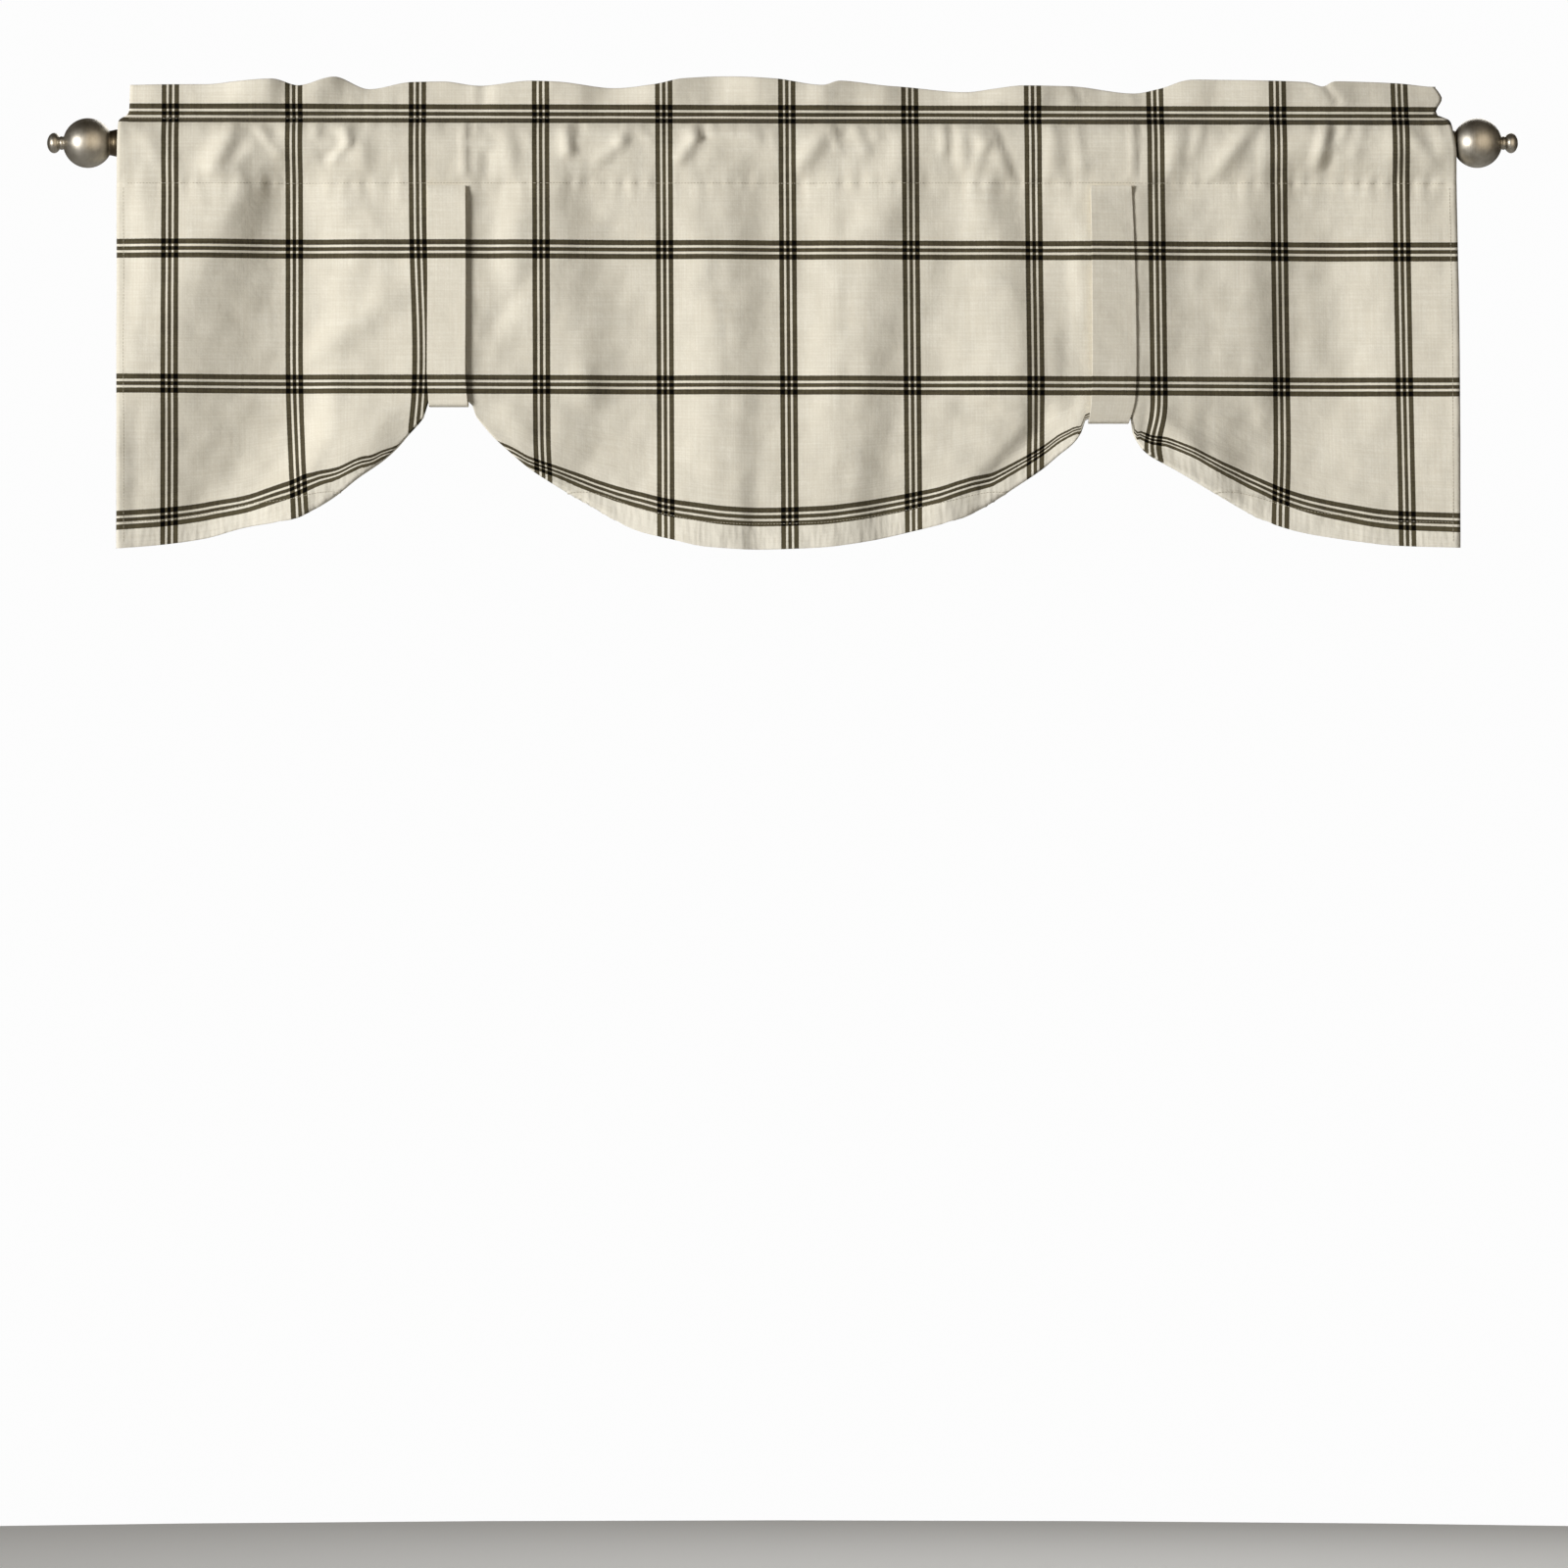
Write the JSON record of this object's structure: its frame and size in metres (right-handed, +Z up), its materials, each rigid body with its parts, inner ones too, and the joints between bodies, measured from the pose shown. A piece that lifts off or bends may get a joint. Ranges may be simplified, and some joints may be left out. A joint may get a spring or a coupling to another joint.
{
  "type": "window valance on a curtain rod",
  "caption": "Rod-pocket window valance in checked cloth, drawn up into scallops by hanging straps, on a round rod with ball finials.",
  "frame": {"origin": "on the rod's axis, midway between the finials", "axes": "+X along the rod to the right as seen from the room, +Y towards the window, +Z up"},
  "size_m": [1.5008, 0.0602, 0.4835],
  "materials": {
    "cloth": "plain-woven cream cloth with an olive-brown triple-line windowpane check",
    "metal": "satin pewter"
  },
  "bodies": {
    "root": {"valance_cloth": "cloth", "strap_left": "cloth", "strap_right": "cloth", "rod": "metal", "finial_left": "metal", "finial_right": "metal"}
  },
  "joints": []
}
